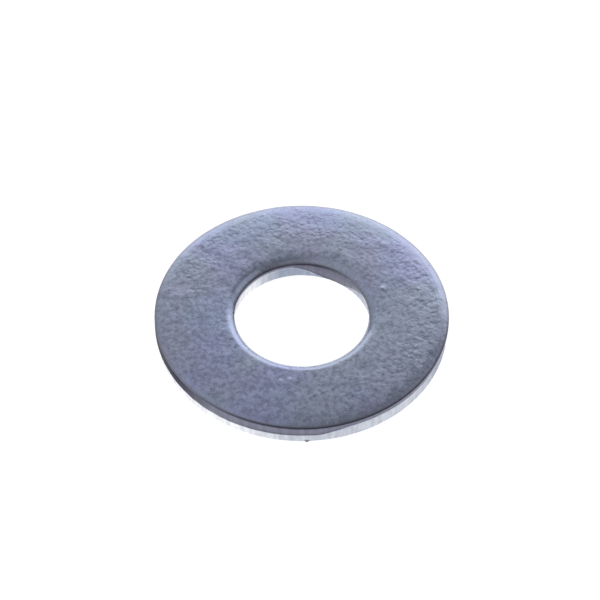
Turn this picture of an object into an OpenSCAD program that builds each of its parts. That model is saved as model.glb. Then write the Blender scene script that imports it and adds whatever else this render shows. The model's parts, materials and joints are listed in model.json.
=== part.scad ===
// Flat washer for a 6 mm bolt: one ring, blanked and pierced from steel strip, then zinc plated.
// Both cuts press down through the strip. From the top face down, the rim and the hole each run through
// a rolled corner, a smooth upright band and a torn band that leans back from the cut.

/* [Washer] */
// Diameter of the bolt hole, at its smooth upright band
hole_d = 6.4; // [4:0.1:9]
// Outside diameter, at its smooth upright band
outer_d = 14; // [12:0.5:30]
// Thickness, between the two flat faces
thickness = 1.2; // [1:0.1:3]

/* [Rim] */
// How far the rolled corner reaches in over the top face
rim_roll_w = 0.45; // [0.1:0.05:0.6]
// How far the rolled corner drops below the top face
rim_roll_h = 0.15; // [0.05:0.05:0.3]
// Height of the torn band above the bottom face
rim_tear_h = 0.55; // [0.2:0.05:0.6]
// How far the torn band leans in by the bottom face
rim_tear_in = 0.1; // [0.02:0.02:0.2]

/* [Hole] */
// How far the rolled corner reaches out over the top face
hole_roll_w = 0.45; // [0.1:0.05:0.6]
// How far the rolled corner drops below the top face
hole_roll_h = 0.25; // [0.05:0.05:0.3]
// Height of the torn band above the bottom face
hole_tear_h = 0.3; // [0.2:0.05:0.6]
// How far the torn band opens out by the bottom face
hole_tear_out = 0.14; // [0.02:0.02:0.2]

/* [Smoothness] */
// Sides on every turned surface
turn_sides = 180; // [60:12:360]
// Steps along each rolled corner
roll_steps = 8; // [3:1:16]

/* [Hidden] */
hole_r = hole_d / 2;
outer_r = outer_d / 2;
zinc_grey = [0.57, 0.60, 0.72];

// A point on a rolled corner, a quarter ellipse from the top face at flat_r to the wall at wall_r.
// turn is 0 where it leaves the face and 90 where it meets the wall, drop below the face.
function roll_point(flat_r, wall_r, drop, turn) =
    [flat_r + (wall_r - flat_r) * sin(turn), thickness - drop * (1 - cos(turn))];

// The washer's cross-section, on the +X side of its axis
module section() {
    rim_roll = [for (i = [0 : roll_steps])
        roll_point(outer_r - rim_roll_w, outer_r, rim_roll_h, 90 * i / roll_steps)];
    hole_roll = [for (i = [roll_steps : -1 : 0])
        roll_point(hole_r + hole_roll_w, hole_r, hole_roll_h, 90 * i / roll_steps)];
    rim_tear = [[outer_r, rim_tear_h], [outer_r - rim_tear_in, 0]];
    hole_tear = [[hole_r + hole_tear_out, 0], [hole_r, hole_tear_h]];
    polygon(concat(rim_roll, rim_tear, hole_tear, hole_roll));
}

// The whole washer: its axis is Z, and it stands on its bottom face at Z 0
module washer() {
    color(zinc_grey)
        rotate_extrude($fn = turn_sides)
            section();
}

washer();
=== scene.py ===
"""Looks of a zinc plated flat washer for a 6 mm bolt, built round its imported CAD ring.

The washer is one steel ring, blanked and pierced from strip and then plated. Its CAD solid is plain, so one
finer ring stands for it here: rolled corners that fade into the faces, a smooth burnished band, a torn band
with real pits and ridges, one burr and grains of plating that stand proud. Lengths are metres, angles are
degrees, and azimuth 0 is +X.
"""

import json
import logging
import math
from dataclasses import dataclass, field
from enum import Enum

import bpy
import numpy as np
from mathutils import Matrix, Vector, noise


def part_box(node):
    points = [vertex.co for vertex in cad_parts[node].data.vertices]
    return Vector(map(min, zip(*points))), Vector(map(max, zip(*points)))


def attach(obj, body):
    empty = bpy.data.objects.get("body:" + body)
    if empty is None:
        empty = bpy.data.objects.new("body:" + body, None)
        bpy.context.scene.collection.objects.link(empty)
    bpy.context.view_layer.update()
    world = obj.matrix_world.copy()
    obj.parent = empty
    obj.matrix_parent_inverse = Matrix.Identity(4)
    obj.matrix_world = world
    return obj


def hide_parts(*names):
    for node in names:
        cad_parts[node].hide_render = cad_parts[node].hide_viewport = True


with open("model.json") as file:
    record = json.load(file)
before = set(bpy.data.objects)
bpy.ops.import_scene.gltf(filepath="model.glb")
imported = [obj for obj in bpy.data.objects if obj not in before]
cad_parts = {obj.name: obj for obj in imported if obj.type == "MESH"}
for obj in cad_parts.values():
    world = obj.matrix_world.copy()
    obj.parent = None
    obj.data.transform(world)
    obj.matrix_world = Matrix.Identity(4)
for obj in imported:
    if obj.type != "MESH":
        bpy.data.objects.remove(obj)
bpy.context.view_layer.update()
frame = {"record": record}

LOG = logging.getLogger("washer")
MM = 0.001
NODE = "washer"
BODY = "root"
# A Mix node's colour sockets share their names with its other sockets, so they go by number.
MIX_FIRST, MIX_SECOND, MIX_RESULT = 6, 7, 2


class Zone(Enum):
    """The kinds of surface on a pressed ring, and the names of the masks that mark them on its mesh. Some
    masks carry painted light: painted shade in the corners, on the burnished band and on the burr, and a
    painted highlight on the torn band.
    """

    BURNISH = "burnish"
    TEAR = "tear"
    # Painted shade along the rolled corners and the bottom lip.
    CORNER = "corner"
    # Painted highlight and painted shade on the torn band, by azimuth.
    PAINTED_HIGHLIGHT = "painted_highlight"
    # Painted shade and dark reflection on the burnished band and at its creases.
    PAINTED_SHADE = "painted_shade"
    PEEN = "peen"
    # Painted shade on the burr.
    BURR_SHADE = "burr"


class Pattern(Enum):
    """The patterns on the ring, each with its own part of the noise."""

    TEAR_LINE = 3.1
    TEAR_LINE_FINE = 7.7
    WAVE = 11.3
    PITS = 5.9
    PITS_FINE = 2.3
    STREAKS = 17.0


def smooth_step(share: np.ndarray | float) -> np.ndarray:
    """Clips to 0 to 1 and eases both ends."""
    share = np.clip(share, 0.0, 1.0)
    return share * share * (3.0 - 2.0 * share)


def ring_noise(points: np.ndarray, grain: float, pattern: Pattern) -> np.ndarray:
    """Smooth noise at points in space, the same on every run.

    Args:
        points: Positions, with x, y and z on the last axis.
        grain: Size of one blob.
        pattern: The pattern, which says which part of the noise to read.

    Returns:
        One value a point, from about -1 to 1.
    """
    flat = points.reshape(-1, 3) / grain + pattern.value
    values = [noise.noise(Vector(p)) for p in flat.tolist()]
    return np.array(values).reshape(points.shape[:-1])


# ---------------------------------------------------------------------------------------------- shape


@dataclass(frozen=True)
class Stretch:
    """A stretch of the ring's circumference with soft ends."""

    middle: float
    half_width: float
    shoulder: float

    def share(self, azimuth: np.ndarray) -> np.ndarray:
        """Says how far each azimuth is inside the stretch.

        Args:
            azimuth: Angles in degrees.

        Returns:
            One inside, nothing outside, and an eased change over the shoulder.
        """
        away = np.abs((azimuth - self.middle + 180.0) % 360.0 - 180.0)
        return smooth_step((self.half_width + self.shoulder - away) / self.shoulder)


@dataclass(frozen=True)
class Row:
    """One ring of vertices: radius and height at each azimuth, and how far it belongs to each zone."""

    radius: np.ndarray | float
    height: np.ndarray | float
    zones: dict[Zone, np.ndarray | float] = field(default_factory=dict)


@dataclass(frozen=True)
class PressedEdge:
    """The wall that a punch or a blanking die leaves, from the top face down to the bottom face.

    facing is 1 on the rim, which faces away from the axis, and -1 in the hole. The rolled corner is an arc
    that leaves the top face level, and sag is how far the face beside it was dragged down, most where pull
    is. The torn band climbs by tear_climb where climb is; its colour carries a painted highlight over one
    stretch, fainter elsewhere, and painted shade where shade is. The burnished band is darkened by painted
    shade, standing for a dark reflection, over one stretch, by a given depth and less so lower down. A
    painted dark line of shade marks the creases above and below it where line is.
    """

    wall_r: float
    facing: int
    roll_w: float
    roll_h: float
    sag: float
    sag_reach: float
    pull: Stretch
    tear_h: float
    tear_lean: float
    tear_climb: float
    climb: Stretch
    # Painted highlight and painted shade: the torn band's colour is lit over one stretch, less elsewhere, and
    # shaded over another.
    painted_highlight: Stretch
    painted_highlight_elsewhere: float
    # Painted shade: the burnished band is darkened over one stretch, standing for a dark reflection, with a
    # depth and a fade lower down.
    painted_shade: Stretch
    painted_shade_depth: float
    painted_shade_fade: float
    line: Stretch
    shade: Stretch
    # These shape the painted dark lines of shade at the band's creases.
    line_from: float = 0.72
    line_depth: float = 0.75
    line_fall: float = 6.0
    foot_line_power: int = 8
    corner_shade_power: int = 4
    least_burnish: float = 0.039 * MM
    lip: float = 0.039 * MM
    pull_elsewhere: float = 0.15
    ledge: float = 0.016 * MM
    ragged: float = 0.027 * MM
    ragged_size: float = 0.7 * MM
    ragged_fine: float = 0.6
    ragged_fine_size: float = 0.218 * MM
    crease: float = 0.03
    roll_rows: int = 12
    burnish_rows: int = 7
    tear_rows: int = 15
    tear_blend: float = 0.25
    lip_rows: int = 3

    @property
    def flat_r(self) -> float:
        """Radius at which the rolled corner leaves the top face."""
        return self.wall_r - self.facing * self.roll_w

    @property
    def foot_r(self) -> float:
        """Radius at which the bottom face begins."""
        return self.wall_r - self.facing * (self.tear_lean + self.lip)

    def dip(self, radius: float, azimuth: np.ndarray) -> np.ndarray:
        """How far the metal that the cut dragged down lies under the face, at a radius and each azimuth."""
        past_flat = self.facing * (radius - self.flat_r)
        pull = self.pull_elsewhere + (1.0 - self.pull_elsewhere) * self.pull.share(azimuth)
        return self.sag * pull * math.exp(past_flat / self.sag_reach)

    def tear_line(self, azimuth: np.ndarray) -> np.ndarray:
        """Height at which the smooth band ends and the torn band begins.

        Args:
            azimuth: Angles in degrees.

        Returns:
            A height for each azimuth, ragged and higher where the die was tight.
        """
        turn = np.radians(azimuth)
        circle = np.stack([np.cos(turn), np.sin(turn), 0 * turn], axis=-1) * self.wall_r
        fine = ring_noise(circle, self.ragged_fine_size, Pattern.TEAR_LINE_FINE)
        rough = ring_noise(circle, self.ragged_size, Pattern.TEAR_LINE) + self.ragged_fine * fine
        return self.tear_h + self.tear_climb * self.climb.share(azimuth) + self.ragged * rough

    def rolled(self, azimuth: np.ndarray, top: float) -> list[Row]:
        """Lists the rings of the rolled corner.

        Args:
            azimuth: Angles in degrees.
            top: Height of the top face.

        Returns:
            The rows from just inside the corner's start to its crease.
        """
        made = []
        bend_r = (self.roll_w**2 + self.roll_h**2) / (2.0 * self.roll_h)
        steepest = 2.0 * math.atan(self.roll_h / self.roll_w)
        line = self.line.share(azimuth)
        for share in np.append(np.linspace(0.0, 1.0 - self.crease, self.roll_rows + 1)[1:], 1.0):
            turn = steepest * share
            radius = self.flat_r + self.facing * bend_r * math.sin(turn)
            height = top - bend_r * (1.0 - math.cos(turn)) - self.dip(radius, azimuth)
            # Painted shade: the last rows of the corner take the burnished band's colour under a painted dark
            # line at the crease.
            end = smooth_step((share - self.line_from) / (1.0 - self.line_from)) * line
            # Painted shade: the corner mask darkens the rolled corner towards its crease.
            zones = {Zone.CORNER: share**self.corner_shade_power, Zone.BURNISH: end, Zone.PAINTED_SHADE: self.line_depth}
            made.append(Row(radius, height, zones))
        return made

    def burnished(self, azimuth: np.ndarray, shoulder: np.ndarray, foot: np.ndarray) -> list[Row]:
        """Lists the rings of the smooth upright band.

        Args:
            azimuth: Angles in degrees.
            shoulder: Height of its upper end.
            foot: Height of its lower end.

        Returns:
            The rows from just under the shoulder to the foot.
        """
        made = []
        # Painted shade on the band: a dark stretch standing for a dark reflection, and painted dark lines at
        # its top crease and its foot.
        line = self.line.share(azimuth)
        painted_shade = self.painted_shade_depth * self.painted_shade.share(azimuth)
        for share in np.linspace(self.crease, 1.0, self.burnish_rows):
            height = shoulder + (foot - shoulder) * share
            creases = max(1.0 - self.line_fall * share, share**self.foot_line_power)
            shade = np.maximum(painted_shade * (1.0 - self.painted_shade_fade * share), self.line_depth * creases * line)
            made.append(Row(self.wall_r, height, {Zone.BURNISH: 1.0, Zone.PAINTED_SHADE: shade}))
        return made

    def torn(self, azimuth: np.ndarray, upper: np.ndarray) -> list[Row]:
        """Lists the rings of the torn band and of the lip under it.

        Args:
            azimuth: Angles in degrees.
            upper: Height of its upper end.

        Returns:
            The rows from the ledge at the upper end to the bottom face.
        """
        made = []
        # Painted highlight and painted shade on the torn band, set by azimuth.
        plain = self.painted_highlight_elsewhere * (1.0 - self.shade.share(azimuth))
        painted_highlight = plain + (1.0 - plain) * self.painted_highlight.share(azimuth)
        for share in np.linspace(0.0, 1.0, self.tear_rows + 1):
            height = upper + (self.lip - upper) * (self.crease + (1.0 - self.crease) * share)
            radius = self.wall_r - self.facing * (self.ledge + (self.tear_lean - self.ledge) * share)
            torn = smooth_step(share / self.tear_blend)
            made.append(Row(radius, height, {Zone.TEAR: torn, Zone.BURNISH: 1.0 - torn, Zone.PAINTED_HIGHLIGHT: painted_highlight}))
        for turn in np.linspace(0.0, math.pi / 2, self.lip_rows + 1)[1:]:
            inset = self.tear_lean + self.lip * (1.0 - math.cos(turn))
            height = self.lip * (1.0 - math.sin(turn))
            # Painted shade: the corner mask draws a thin grey line of contact shadow along the bottom lip.
            zones = {Zone.TEAR: math.cos(turn), Zone.CORNER: math.sin(turn), Zone.PAINTED_HIGHLIGHT: painted_highlight}
            made.append(Row(self.wall_r - self.facing * inset, height, zones))
        return made

    def rows(self, azimuth: np.ndarray, top: float) -> list[Row]:
        """Lists the edge's rings of vertices from the top face down to the bottom face.

        Args:
            azimuth: Angles in degrees.
            top: Height of the top face.

        Returns:
            The rows of the rolled corner, the burnished band, the torn band and the lip.
        """
        rolled = self.rolled(azimuth, top)
        shoulder = rolled[-1].height
        tear_line = np.minimum(self.tear_line(azimuth), shoulder - self.least_burnish)
        return rolled + self.burnished(azimuth, shoulder, tear_line) + self.torn(azimuth, tear_line)


@dataclass(frozen=True)
class Lump:
    """A round lump that stands proud of the metal: the burr or a grain of plating."""

    azimuth: float
    radius: float
    height: float
    size: float
    stand: float
    fall: float = 2.0

    @property
    def place(self) -> np.ndarray:
        """The lump's middle."""
        turn = math.radians(self.azimuth)
        return np.array([self.radius * math.cos(turn), self.radius * math.sin(turn), self.height])

    def rise(self, points: np.ndarray) -> np.ndarray:
        """How far each point moves out of the metal."""
        away = np.linalg.norm(points - self.place, axis=-1) / self.size
        return self.stand * np.exp(-self.fall * away**2)


@dataclass(frozen=True)
class Nodules:
    """Grains of plating that stand proud over one part of the top face, placed by a seeded draw."""

    azimuths: tuple[float, float]
    radii: tuple[float, float]
    count: int
    seed: int
    sizes: tuple[float, float] = (0.062 * MM, 0.093 * MM)
    stands: tuple[float, float] = (0.0047 * MM, 0.011 * MM)

    def grains(self, level: float) -> list[Lump]:
        """Draws the grains, on a face at the given height."""
        draw = np.random.default_rng(self.seed)
        made = []
        for _ in range(self.count):
            azimuth, radius = draw.uniform(*self.azimuths), draw.uniform(*self.radii)
            size, stand = draw.uniform(*self.sizes), draw.uniform(*self.stands)
            made.append(Lump(azimuth, radius, level, size, stand))
        return made


@dataclass
class Ring:
    """The whole washer as one closed mesh, kept inside its CAD box but for the tip of one coarse grain."""

    outer_r: float
    hole_r: float
    thickness: float
    segments: int = 720
    face_rows: int = 52
    foot_rows: int = 8
    skin: float = 0.0062 * MM
    crown: float = 0.047 * MM
    peened: Stretch = Stretch(60.0, 100.0, 40.0)
    face_wave: float = 0.0086 * MM
    face_wave_size: float = 0.7 * MM
    peen_from: float = 0.2
    peen_full: float = 0.7
    tear_pit: float = 0.022 * MM
    tear_pit_size: float = 0.124 * MM
    tear_base: float = 0.6
    fine_pit: float = 0.5
    fine_pit_scale: float = 0.4
    streak: float = 0.0017 * MM
    streak_size: float = 0.093 * MM
    streak_squash: float = 0.12
    # Share of the burr's stand above which its painted shade is full.
    burr_shade_reach: float = 0.5
    rim: PressedEdge = field(init=False)
    hole: PressedEdge = field(init=False)

    def __post_init__(self) -> None:
        """Works out both pressed edges from the CAD sizes."""
        self.rim = PressedEdge(
            wall_r=self.outer_r - self.skin, facing=1, roll_w=0.467 * MM, roll_h=0.093 * MM,
            sag=0.016 * MM, sag_reach=0.389 * MM, pull=Stretch(15.0, 95.0, 40.0),
            tear_h=0.544 * MM, tear_lean=0.062 * MM, tear_climb=0.27 * MM, climb=Stretch(335.0, 45.0, 14.0),
            painted_highlight=Stretch(222.0, 14.0, 34.0), painted_highlight_elsewhere=0.44, painted_shade=Stretch(202.0, 10.0, 28.0),
            painted_shade_depth=1.0, painted_shade_fade=0.1, line=Stretch(292.0, 32.0, 50.0),
            shade=Stretch(352.0, 14.0, 14.0))
        self.hole = PressedEdge(
            wall_r=self.hole_r, facing=-1, roll_w=0.45 * MM, roll_h=0.22 * MM,
            sag=0.023 * MM, sag_reach=0.389 * MM, pull=Stretch(70.0, 70.0, 50.0),
            tear_h=0.171 * MM, tear_lean=0.093 * MM, tear_climb=0.622 * MM, climb=Stretch(241.0, 139.0, 36.0),
            painted_highlight=Stretch(144.0, 0.0, 40.0), painted_highlight_elsewhere=0.35, painted_shade=Stretch(50.0, 50.0, 35.0),
            painted_shade_depth=0.3, painted_shade_fade=1.0, line=Stretch(107.0, 28.0, 54.0),
            shade=Stretch(95.0, 38.0, 30.0))

    @property
    def top(self) -> float:
        """Height of the top face, a little under the CAD face so that its waves stay inside."""
        return self.thickness - self.skin

    def burr(self) -> Lump:
        """The one burr that hangs from the front of the bottom edge, darkened by painted shade."""
        return Lump(
            azimuth=272.0, radius=self.rim.foot_r, height=0.016 * MM, size=0.132 * MM, stand=0.047 * MM)

    def lumps(self) -> list[Lump]:
        """Lists everything that stands proud: the burr, three coarse grains and the fields of fine ones."""
        made = [
            self.burr(),
            Lump(azimuth=21.0, radius=4.11 * MM, height=self.top, size=0.156 * MM, stand=0.023 * MM),
            Lump(azimuth=262.0, radius=4.2 * MM, height=self.top, size=0.093 * MM, stand=0.016 * MM),
            Lump(azimuth=257.0, radius=4.36 * MM, height=self.top, size=0.093 * MM, stand=0.012 * MM),
        ]
        fields = (
            Nodules(azimuths=(106.0, 152.0), radii=(6.26 * MM, 6.88 * MM), count=90, seed=5),
            Nodules(azimuths=(-30.0, 40.0), radii=(5.6 * MM, 6.84 * MM), count=150, seed=8),
            Nodules(azimuths=(60.0, 115.0), radii=(4.36 * MM, 5.76 * MM), count=50, seed=13),
        )
        for nodules in fields:
            made += nodules.grains(self.top)
        return made

    def all_rows(self, azimuth: np.ndarray) -> list[Row]:
        """Lists every ring of vertices, out over the top face, round the rim and back through the hole.

        Args:
            azimuth: Angles in degrees.

        Returns:
            The rows in order. The last one meets the first.
        """
        made = []
        for share in np.linspace(0.0, 1.0, self.face_rows + 1):
            radius = self.hole.flat_r + (self.rim.flat_r - self.hole.flat_r) * share
            sag = self.rim.dip(radius, azimuth) + self.hole.dip(radius, azimuth)
            outward = smooth_step((share - self.peen_from) / (self.peen_full - self.peen_from))
            peen = self.peened.share(azimuth) * outward
            made.append(Row(radius, self.top - self.crown * share**2 - sag, {Zone.PEEN: peen}))
        made += self.rim.rows(azimuth, self.top - self.crown)
        for radius in np.linspace(self.rim.foot_r, self.hole.foot_r, self.foot_rows + 1)[1:-1]:
            made.append(Row(radius, 0.0))
        made += reversed(self.hole.rows(azimuth, self.top))
        return made

    def normals(self, points: np.ndarray) -> np.ndarray:
        """Unit normals of the closed grid of points, pointing out of the metal."""
        along_row = np.roll(points, -1, axis=1) - np.roll(points, 1, axis=1)
        across_rows = np.roll(points, -1, axis=0) - np.roll(points, 1, axis=0)
        outward = np.cross(across_rows, along_row)
        return outward / np.linalg.norm(outward, axis=-1, keepdims=True)

    def inset(self, points: np.ndarray, masks: dict[Zone, np.ndarray]) -> np.ndarray:
        """Works out how deep the texture of each zone goes into the metal.

        Args:
            points: The smooth ring's vertices, by row and segment.
            masks: How far each vertex belongs to each zone.

        Returns:
            A depth for each vertex.
        """
        tear, burnish = masks[Zone.TEAR], masks[Zone.BURNISH]
        plain = 1.0 - np.clip(tear + burnish, 0.0, 1.0)
        wave = 1.0 + ring_noise(points, self.face_wave_size, Pattern.WAVE)
        fine_pits = ring_noise(points, self.fine_pit_scale * self.tear_pit_size, Pattern.PITS_FINE)
        pits = ring_noise(points, self.tear_pit_size, Pattern.PITS) + self.fine_pit * fine_pits
        torn = self.tear_base + (1.0 - self.tear_base) * pits
        squashed = points * np.array([1.0, 1.0, self.streak_squash])
        streaks = 1.0 + ring_noise(squashed, self.streak_size, Pattern.STREAKS)
        depth = plain * self.face_wave * wave + tear * self.tear_pit * torn + burnish * self.streak * streaks
        for lump in self.lumps():
            depth = depth - lump.rise(points)
        return depth

    def grid(self) -> tuple[np.ndarray, dict[Zone, np.ndarray]]:
        """Works out the ring's vertices.

        Returns:
            Their positions, by row and segment, and how far each belongs to each zone.
        """
        azimuth = np.arange(self.segments) * 360.0 / self.segments
        turn = np.radians(azimuth)
        even = np.ones_like(azimuth)
        rows = self.all_rows(azimuth)
        points = np.stack([
            np.stack([row.radius * np.cos(turn), row.radius * np.sin(turn), row.height * even], axis=-1)
            for row in rows])
        masks = {zone: np.stack([row.zones.get(zone, 0.0) * even for row in rows]) for zone in Zone}
        # The burr's mask lays painted shade on it.
        burr = self.burr()
        masks[Zone.BURR_SHADE] = np.clip(burr.rise(points) / (self.burr_shade_reach * burr.stand), 0.0, 1.0)
        points -= self.normals(points) * self.inset(points, masks)[..., None]
        points[..., 2] = np.maximum(points[..., 2], 0.0)
        return points, masks

    def build(self, name: str) -> bpy.types.Object:
        """Makes the ring's mesh and object.

        Args:
            name: The piece's name.

        Returns:
            The object, shaded smooth, with one mask attribute for each zone.
        """
        points, masks = self.grid()
        mesh = bpy.data.meshes.new(name)
        count, width = points.shape[:2]
        here = np.arange(count * width).reshape(count, width)
        below, beside = np.roll(here, -1, axis=0), np.roll(here, -1, axis=1)
        diagonal = np.roll(below, -1, axis=1)
        faces = np.stack([here, below, diagonal, beside], axis=-1).reshape(-1, 4)
        mesh.from_pydata(points.reshape(-1, 3).tolist(), [], faces.tolist())
        mesh.shade_smooth()
        for zone, mask in masks.items():
            attribute = mesh.attributes.new(zone.value, "FLOAT", "POINT")
            attribute.data.foreach_set("value", mask.astype(np.float32).ravel())
        ring = bpy.data.objects.new(name, mesh)
        bpy.context.scene.collection.objects.link(ring)
        LOG.info("%s: %d rows of %d vertices, %d faces", name, count, width, len(mesh.polygons))
        return ring


# ------------------------------------------------------------------------------------------- finishes


@dataclass(frozen=True)
class Tint:
    """A linear colour."""

    red: float
    green: float
    blue: float

    @property
    def rgba(self) -> tuple[float, float, float, float]:
        """The colour with full alpha, as sockets take it."""
        return (self.red, self.green, self.blue, 1.0)


class Graph:
    """A small helper that adds nodes to a tree and wires them."""

    def __init__(self, tree: bpy.types.NodeTree) -> None:
        """Keeps the tree."""
        self.tree = tree

    def node(self, kind: str, **settings: object) -> bpy.types.Node:
        """Adds a node.

        Args:
            kind: The node's type name.
            **settings: Attributes to set on it.

        Returns:
            The new node.
        """
        made = self.tree.nodes.new(kind)
        for name, value in settings.items():
            setattr(made, name, value)
        return made

    def feed(self, socket: bpy.types.NodeSocket, value: object) -> None:
        """Wires an output into a socket, or sets the socket's own value."""
        if isinstance(value, bpy.types.NodeSocket):
            self.tree.links.new(value, socket)
        else:
            socket.default_value = value

    def plus(self, first: object, second: object, clamp: bool = False) -> bpy.types.NodeSocket:
        """Adds two values and returns the result."""
        return self.math("ADD", first, second, clamp)

    def times(self, first: object, second: object) -> bpy.types.NodeSocket:
        """Multiplies two values and returns the result."""
        return self.math("MULTIPLY", first, second)

    def math(
            self, operation: str, first: object, second: object, clamp: bool = False) -> bpy.types.NodeSocket:
        """Adds a maths node and returns its result."""
        made = self.node("ShaderNodeMath", operation=operation, use_clamp=clamp)
        self.feed(made.inputs[0], first)
        self.feed(made.inputs[1], second)
        return made.outputs[0]

    def remap(self, value: object, low: float, high: float, start: float, end: float) -> bpy.types.NodeSocket:
        """Eases a value from the range low to high into the range start to end."""
        made = self.node("ShaderNodeMapRange", interpolation_type="SMOOTHSTEP")
        self.feed(made.inputs["Value"], value)
        self.feed(made.inputs["From Min"], low)
        self.feed(made.inputs["From Max"], high)
        self.feed(made.inputs["To Min"], start)
        self.feed(made.inputs["To Max"], end)
        return made.outputs["Result"]

    def blend(self, share: object, first: object, second: object, mode: str = "MIX") -> bpy.types.NodeSocket:
        """Mixes two colours and returns the result."""
        made = self.node("ShaderNodeMix", data_type="RGBA", blend_type=mode)
        self.feed(made.inputs["Factor"], share)
        self.feed(made.inputs[MIX_FIRST], first)
        self.feed(made.inputs[MIX_SECOND], second)
        return made.outputs[MIX_RESULT]

    def tinted(self, first: object, second: object) -> bpy.types.NodeSocket:
        """Multiplies two colours and returns the result."""
        return self.blend(1.0, first, second, "MULTIPLY")

    def mask(self, zone: Zone) -> bpy.types.NodeSocket:
        """Reads a zone's mask from the mesh."""
        return self.node("ShaderNodeAttribute", attribute_name=zone.value).outputs["Fac"]

    def noise(self, where: object, scale: object, detail: float) -> bpy.types.NodeSocket:
        """Adds a noise texture, scale in blobs for each unit of its coordinates, and returns its value."""
        made = self.node("ShaderNodeTexNoise", noise_dimensions="3D")
        self.feed(made.inputs["Vector"], where)
        self.feed(made.inputs["Scale"], scale)
        self.feed(made.inputs["Detail"], detail)
        return made.outputs["Fac"]

    def pebbles(self, where: object, scale: object, smoothness: float) -> bpy.types.NodeSocket:
        """Adds a texture of close round domes, highest in their middles, and returns its value."""
        made = self.node("ShaderNodeTexVoronoi", voronoi_dimensions="3D", feature="SMOOTH_F1")
        self.feed(made.inputs["Vector"], where)
        self.feed(made.inputs["Scale"], scale)
        self.feed(made.inputs["Smoothness"], smoothness)
        return self.math("SUBTRACT", 1.0, made.outputs["Distance"])

    def specks(self, where: object, scale: object, share: float, size: float) -> bpy.types.NodeSocket:
        """Adds scattered round specks.

        Args:
            where: Coordinates to place them by.
            scale: Cells for each unit of the coordinates.
            share: Share of the cells that hold a speck.
            size: Radius of a speck, in cells.

        Returns:
            A mask, 1 in the middle of a speck.
        """
        made = self.node("ShaderNodeTexVoronoi", voronoi_dimensions="3D", feature="F1")
        self.feed(made.inputs["Vector"], where)
        self.feed(made.inputs["Scale"], scale)
        draw = self.node("ShaderNodeSeparateColor")
        self.feed(draw.inputs["Color"], made.outputs["Color"])
        kept = self.math("LESS_THAN", draw.outputs["Red"], share)
        return self.times(kept, self.remap(made.outputs["Distance"], 0.0, size, 1.0, 0.0))


def millimetres(graph: Graph, stretch: tuple[float, float, float] = (1.0, 1.0, 1.0)) -> bpy.types.NodeSocket:
    """Adds the object's coordinates in millimetres.

    Args:
        graph: The graph to add to.
        stretch: Factors on the three axes, below 1 to draw a pattern out along an axis.

    Returns:
        The coordinate output.
    """
    place = graph.node("ShaderNodeTexCoord").outputs["Object"]
    mapping = graph.node("ShaderNodeMapping")
    graph.feed(mapping.inputs["Vector"], place)
    graph.feed(mapping.inputs["Scale"], tuple(share / MM for share in stretch))
    return mapping.outputs["Vector"]


@dataclass(frozen=True)
class Specks:
    """A kind of scattered speck: its cells for each blob, the share of them filled and its size in cells."""

    name: str
    scale: float
    share: float
    size: float


@dataclass(frozen=True)
class PlatingGrain:
    """The fine mottle of barrel plated zinc, as a node group. Scales are in cells for each blob."""

    name: str = "plating grain"
    detail: float = 1.0
    fine_scale: float = 2.0
    pebble_scale: float = 1.25
    pebble_smoothness: float = 0.5
    patch_detail: float = 0.6
    patches: tuple[tuple[str, float], ...] = (("Cloud", 0.08), ("Tinge", 0.13))
    specks: tuple[Specks, ...] = (Specks("Dark", 0.85, 0.35, 0.45), Specks("Light", 1.05, 0.25, 0.40))
    mottle_mix: tuple[float, float] = (0.80, 0.20)
    height_mix: tuple[float, float] = (0.65, 0.10)
    pebble_height: float = 0.25

    def build(self) -> bpy.types.NodeTree:
        """Builds the group.

        Returns:
            A group with the inputs Place and Blobs, the outputs Mottle, Cloud, Tinge and Height, which vary
            over the surface, and the masks Dark and Light of two kinds of speck.
        """
        tree = bpy.data.node_groups.new(self.name, "ShaderNodeTree")
        tree.interface.new_socket("Place", in_out="INPUT", socket_type="NodeSocketVector")
        tree.interface.new_socket("Blobs", in_out="INPUT", socket_type="NodeSocketFloat")
        for name in ("Mottle", "Cloud", "Tinge", "Height", "Dark", "Light"):
            tree.interface.new_socket(name, in_out="OUTPUT", socket_type="NodeSocketFloat")
        graph = Graph(tree)
        given, result = graph.node("NodeGroupInput"), graph.node("NodeGroupOutput")
        place, blobs = given.outputs["Place"], given.outputs["Blobs"]
        coarse = graph.noise(place, blobs, self.detail)
        fine = graph.noise(place, graph.times(blobs, self.fine_scale), self.detail)
        pebbles = graph.pebbles(place, graph.times(blobs, self.pebble_scale), self.pebble_smoothness)
        mottle, height = (
            graph.plus(graph.times(coarse, coarse_share), graph.times(fine, fine_share))
            for coarse_share, fine_share in (self.mottle_mix, self.height_mix))
        graph.feed(result.inputs["Mottle"], mottle)
        graph.feed(result.inputs["Height"], graph.plus(height, graph.times(pebbles, self.pebble_height)))
        for name, scale in self.patches:
            graph.feed(result.inputs[name], graph.noise(place, graph.times(blobs, scale), self.patch_detail))
        for kind in self.specks:
            mask = graph.specks(place, graph.times(blobs, kind.scale), kind.share, kind.size)
            graph.feed(result.inputs[kind.name], mask)
        return tree


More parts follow.
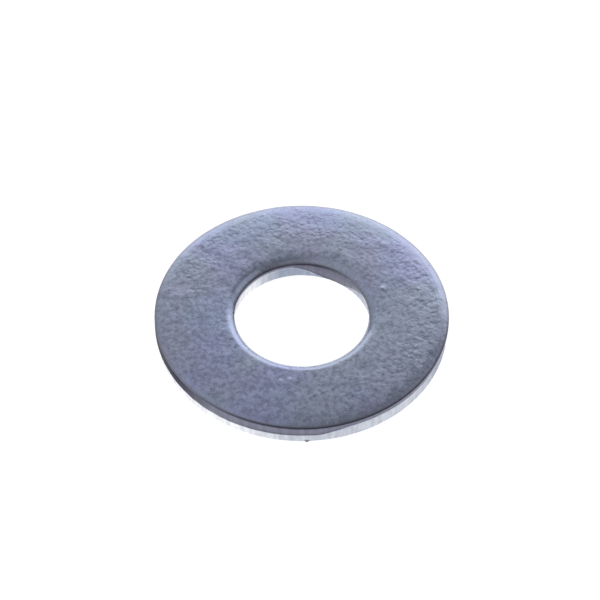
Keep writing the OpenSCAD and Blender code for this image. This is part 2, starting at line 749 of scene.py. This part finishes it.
@dataclass(frozen=True)
class ZincPlate:
    """Bright zinc over steel: mottled on the faces, smoother where burnished, dull where torn. Painted light
    lies on its colour: painted shade in the corners, on the burr and on the burnished band, where it stands
    for dark reflections, and a painted highlight that makes the torn band pale over one stretch.
    """

    name: str = "zinc_plate"
    face_dark: Tint = Tint(0.50, 0.547, 0.715)
    face_light: Tint = Tint(0.60, 0.656, 0.855)
    dark_speck: Tint = Tint(0.68, 0.68, 0.71)
    light_speck: Tint = Tint(1.28, 1.27, 1.24)
    blue: Tint = Tint(0.975, 0.985, 1.04)
    grey: Tint = Tint(1.01, 1.00, 0.965)
    violet: Tint = Tint(1.012, 0.992, 1.015)
    green: Tint = Tint(0.97, 1.01, 0.985)
    # Painted shade for the corners and the bottom lip.
    corner_shade_tint: Tint = Tint(0.38, 0.38, 0.43)
    # Partly the band's own zinc, mostly painted shade: so dark a tint stands for the dark floor that the band
    # reflects.
    burnish_shade_tint: Tint = Tint(0.203, 0.208, 0.272)
    # Painted shade: the near black colour of the burnished band's dark reflection and crease lines.
    painted_shade_tint: Tint = Tint(0.050, 0.047, 0.075)
    # Shaded and lit copies of the torn band's colour, mixed by its painted highlight.
    tear_shaded_tint: Tint = Tint(0.42, 0.47, 0.57)
    tear_lit_tint: Tint = Tint(0.98, 0.99, 1.00)
    # Painted shade for the burr.
    burr_shade_tint: Tint = Tint(0.05, 0.05, 0.06)
    streak_dark: Tint = Tint(0.88, 0.88, 0.90)
    streak_light: Tint = Tint(1.06, 1.06, 1.06)
    mottle_range: tuple[float, float] = (0.32, 0.68)
    patch_range: tuple[float, float] = (0.38, 0.62)
    streak_range: tuple[float, float] = (0.35, 0.65)
    rough_range: tuple[float, float] = (0.3, 0.7)
    face_roughness: tuple[float, float] = (0.24, 0.32)
    burnish_roughness: float = 0.24
    tear_roughness: float = 0.58
    blobs_per_mm: float = 4.1
    streaks_per_mm: float = 4.6
    streak_stretch: tuple[float, float, float] = (1.0, 1.0, 0.12)
    streak_detail: float = 2.0
    bump_height: float = 0.0074 * MM
    peen_gain: float = 1.25
    # Where painted shade lies, the band is also made less metallic, so it reflects less.
    painted_shade_dullness: float = 0.85

    def face_colour(self, graph: Graph, mottling: bpy.types.Node) -> bpy.types.NodeSocket:
        """Adds the colour of the plated faces.

        Args:
            graph: The material's graph.
            mottling: The plating grain node.

        Returns:
            The colour output.
        """
        mottle = graph.remap(mottling.outputs["Mottle"], *self.mottle_range, 0.0, 1.0)
        face = graph.blend(mottle, self.face_dark.rgba, self.face_light.rgba)
        for patch, first, second in (("Cloud", self.blue, self.grey), ("Tinge", self.violet, self.green)):
            share = graph.remap(mottling.outputs[patch], *self.patch_range, 0.0, 1.0)
            face = graph.tinted(face, graph.blend(share, first.rgba, second.rgba))
        for specks, tint in (("Dark", self.dark_speck), ("Light", self.light_speck)):
            face = graph.blend(mottling.outputs[specks], face, graph.tinted(face, tint.rgba))
        return face

    def colour(self, graph: Graph, face: bpy.types.NodeSocket) -> bpy.types.NodeSocket:
        """Adds the colour of the whole ring: the faces, the corners, both bands and the burr, with painted
        shade on the corners, the burnished band and the burr, and a painted highlight on the torn band.

        Args:
            graph: The material's graph.
            face: The colour of the faces.

        Returns:
            The colour output.
        """
        place = millimetres(graph, self.streak_stretch)
        streaks = graph.noise(place, self.streaks_per_mm, self.streak_detail)
        share = graph.remap(streaks, *self.streak_range, 0.0, 1.0)
        streaks = graph.blend(share, self.streak_dark.rgba, self.streak_light.rgba)
        # Painted highlight on the torn band, between its shaded and lit colours.
        torn = graph.blend(graph.mask(Zone.PAINTED_HIGHLIGHT), self.tear_shaded_tint.rgba, self.tear_lit_tint.rgba)
        # Painted shade and dark reflection laid on the burnished band.
        band = graph.blend(graph.mask(Zone.PAINTED_SHADE), self.burnish_shade_tint.rgba, self.painted_shade_tint.rgba)
        # Painted shade in the corners.
        colour = graph.blend(graph.mask(Zone.CORNER), face, self.corner_shade_tint.rgba)
        colour = graph.blend(graph.mask(Zone.BURNISH), colour, graph.tinted(streaks, band))
        colour = graph.blend(graph.mask(Zone.TEAR), colour, graph.tinted(streaks, torn))
        # Painted shade on the burr.
        return graph.blend(graph.mask(Zone.BURR_SHADE), colour, self.burr_shade_tint.rgba)

    def roughness(self, graph: Graph, mottling: bpy.types.Node) -> bpy.types.NodeSocket:
        """Adds the roughness, which varies with the mottle and differs on each band.

        Args:
            graph: The material's graph.
            mottling: The plating grain node.

        Returns:
            The roughness output.
        """
        middle = sum(self.face_roughness) / 2
        face = graph.remap(mottling.outputs["Mottle"], *self.rough_range, *self.face_roughness)
        smoother = graph.times(graph.mask(Zone.BURNISH), self.burnish_roughness - middle)
        duller = graph.times(graph.mask(Zone.TEAR), self.tear_roughness - middle)
        return graph.plus(graph.plus(face, smoother), duller, clamp=True)

    def build(self, grain: bpy.types.NodeTree) -> bpy.types.Material:
        """Builds the material.

        Args:
            grain: The plating grain group.

        Returns:
            The finished material.
        """
        material = bpy.data.materials.new(self.name)
        material.use_nodes = True
        material.node_tree.nodes.clear()
        graph = Graph(material.node_tree)
        surface = graph.node("ShaderNodeBsdfPrincipled")
        output = graph.node("ShaderNodeOutputMaterial")
        graph.feed(output.inputs["Surface"], surface.outputs["BSDF"])
        mottling = graph.node("ShaderNodeGroup", node_tree=grain)
        graph.feed(mottling.inputs["Place"], millimetres(graph))
        graph.feed(mottling.inputs["Blobs"], self.blobs_per_mm)

        graph.feed(surface.inputs["Base Color"], self.colour(graph, self.face_colour(graph, mottling)))
        graph.feed(surface.inputs["Roughness"], self.roughness(graph, mottling))
        # Painted shade also takes the metal out of the darkened band, to look darker.
        painted_shaded = graph.times(graph.mask(Zone.BURNISH), graph.mask(Zone.PAINTED_SHADE))
        metal = graph.math("SUBTRACT", 1.0, graph.times(painted_shaded, self.painted_shade_dullness))
        graph.feed(surface.inputs["Metallic"], metal)
        surface.inputs["Specular IOR Level"].default_value = 0.0

        bump = graph.node("ShaderNodeBump")
        graph.feed(bump.inputs["Strength"], 1.0)
        graph.feed(bump.inputs["Distance"], self.bump_height)
        gain = graph.plus(graph.times(graph.mask(Zone.PEEN), self.peen_gain), 1.0)
        graph.feed(bump.inputs["Height"], graph.times(mottling.outputs["Height"], gain))
        graph.feed(surface.inputs["Normal"], bump.outputs["Normal"])
        return material


# --------------------------------------------------------------------------------------------- studio


def toward(azimuth: float, elevation: float) -> Vector:
    """Unit vector towards an azimuth, from +X round to +Y, and an elevation."""
    flat = math.cos(math.radians(elevation))
    turn = math.radians(azimuth)
    return Vector((flat * math.cos(turn), flat * math.sin(turn), math.sin(math.radians(elevation))))


@dataclass(frozen=True)
class Glow:
    """A far soft panel: full out to its core angle from its middle, and fading to nothing at its edge."""

    azimuth: float
    elevation: float
    core: float
    edge: float
    tint: Tint


@dataclass(frozen=True)
class StudioSky:
    """The dim room round the washer and its soft panels."""

    room: Tint = Tint(0.127, 0.126, 0.134)
    glows: tuple[Glow, ...] = (
        Glow(azimuth=78.0, elevation=5.5, core=38.5, edge=43.5, tint=Tint(0.78, 0.79, 0.83)),
        Glow(azimuth=173.0, elevation=30.0, core=35.0, edge=69.0, tint=Tint(0.26, 0.27, 0.29)),
        Glow(azimuth=9.0, elevation=33.0, core=10.0, edge=32.0, tint=Tint(0.34, 0.35, 0.38)),
        Glow(azimuth=270.0, elevation=44.0, core=22.0, edge=38.0, tint=Tint(0.15, 0.145, 0.16)),
        Glow(azimuth=68.0, elevation=71.0, core=15.0, edge=35.0, tint=Tint(0.06, 0.06, 0.07)),
    )

    def build(self) -> bpy.types.World:
        """Builds the world and returns it."""
        world = bpy.data.worlds.new("studio sky")
        world.use_nodes = True
        world.node_tree.nodes.clear()
        graph = Graph(world.node_tree)
        way = graph.node("ShaderNodeTexCoord").outputs["Generated"]
        light = self.room.rgba
        for glow in self.glows:
            facing = graph.node("ShaderNodeVectorMath", operation="DOT_PRODUCT")
            graph.feed(facing.inputs[0], way)
            graph.feed(facing.inputs[1], toward(glow.azimuth, glow.elevation))
            edge, core = math.cos(math.radians(glow.edge)), math.cos(math.radians(glow.core))
            share = graph.remap(facing.outputs["Value"], edge, core, 0.0, 1.0)
            light = graph.blend(share, light, graph.blend(1.0, light, glow.tint.rgba, "ADD"))
        background = graph.node("ShaderNodeBackground")
        graph.feed(background.inputs["Color"], light)
        output = graph.node("ShaderNodeOutputWorld")
        graph.feed(output.inputs["Surface"], background.outputs["Background"])
        return world


@dataclass(frozen=True)
class KeyLight:
    """A faint soft sun from behind and to the right. Most of the light comes from the sky's panels."""

    azimuth: float = 68.0
    elevation: float = 18.0
    spread: float = 34.0
    strength: float = 0.05

    def build(self) -> bpy.types.Object:
        """Builds the light and returns it."""
        data = bpy.data.lights.new("key_light", "SUN")
        data.energy = self.strength
        data.angle = math.radians(self.spread)
        light = bpy.data.objects.new("key_light", data)
        light.rotation_mode = "QUATERNION"
        light.rotation_quaternion = toward(self.azimuth, self.elevation).to_track_quat("Z", "Y")
        bpy.context.scene.collection.objects.link(light)
        return light


@dataclass(frozen=True)
class PaleFloor:
    """A plain white matt floor, a hair under the washer."""

    reach: float = 0.9
    drop: float = 0.0031 * MM
    tint: Tint = Tint(0.50, 0.50, 0.50)
    glow: float = 0.90

    def build(self) -> bpy.types.Object:
        """Builds the floor and returns it."""
        mesh = bpy.data.meshes.new("pale_floor")
        square = ((-1, -1), (1, -1), (1, 1), (-1, 1))
        corners = [(x * self.reach, y * self.reach, -self.drop) for x, y in square]
        mesh.from_pydata(corners, [], [(0, 1, 2, 3)])
        material = bpy.data.materials.new("pale_floor")
        material.use_nodes = True
        surface = material.node_tree.nodes["Principled BSDF"]
        surface.inputs["Base Color"].default_value = self.tint.rgba
        surface.inputs["Roughness"].default_value = 1.0
        surface.inputs["Specular IOR Level"].default_value = 0.0
        surface.inputs["Emission Color"].default_value = Tint(1.0, 1.0, 1.0).rgba
        surface.inputs["Emission Strength"].default_value = self.glow
        mesh.materials.append(material)
        floor = bpy.data.objects.new("pale_floor", mesh)
        bpy.context.scene.collection.objects.link(floor)
        return floor


@dataclass(frozen=True)
class StudioCamera:
    """A long lens that looks down at the washer. Its aim and distance are in outer radii."""

    outer_r: float
    elevation: float = 49.15
    distance: float = 21.9
    aim: tuple[float, float] = (-0.0117, 0.2495)
    lens: float = 191.2
    sensor: float = 36.0
    reach: float = 200.0

    def build(self) -> bpy.types.Object:
        """Builds the camera, makes it the scene's camera and returns it."""
        data = bpy.data.cameras.new("studio_camera")
        data.lens = self.lens
        data.sensor_width = self.sensor
        data.clip_start = self.outer_r
        data.clip_end = self.reach * self.outer_r
        camera = bpy.data.objects.new("studio_camera", data)
        back = toward(-90.0, self.elevation)
        target = Vector((*self.aim, 0.0)) * self.outer_r
        camera.rotation_mode = "QUATERNION"
        camera.location = target + back * (self.distance * self.outer_r)
        camera.rotation_quaternion = back.to_track_quat("Z", "Y")
        bpy.context.scene.collection.objects.link(camera)
        bpy.context.scene.camera = camera
        return camera


def main() -> None:
    """Builds the studio and the washer, and reports the piece."""
    logging.basicConfig(level=logging.INFO, format="%(name)s: %(message)s")
    low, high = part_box(NODE)
    outer_r = min(high.x, high.y, -low.x, -low.y)
    bolt_hole = next(m for m in frame["record"]["mounts"] if m["name"] == "bolt_hole")
    ring = Ring(outer_r=outer_r, hole_r=bolt_hole["dims"]["r_mm"] * MM, thickness=high.z - low.z)

    StudioCamera(outer_r).build()
    PaleFloor().build()
    KeyLight().build()
    bpy.context.scene.world = StudioSky().build()
    bpy.context.scene.view_settings.view_transform = "Standard"

    washer = ring.build("plated_washer")
    washer.data.materials.append(ZincPlate().build(PlatingGrain().build()))
    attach(washer, BODY)
    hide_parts(NODE)
    LOG.info("%s rides on %s and stands for %s", washer.name, BODY, NODE)


if __name__ == "__main__":
    main()
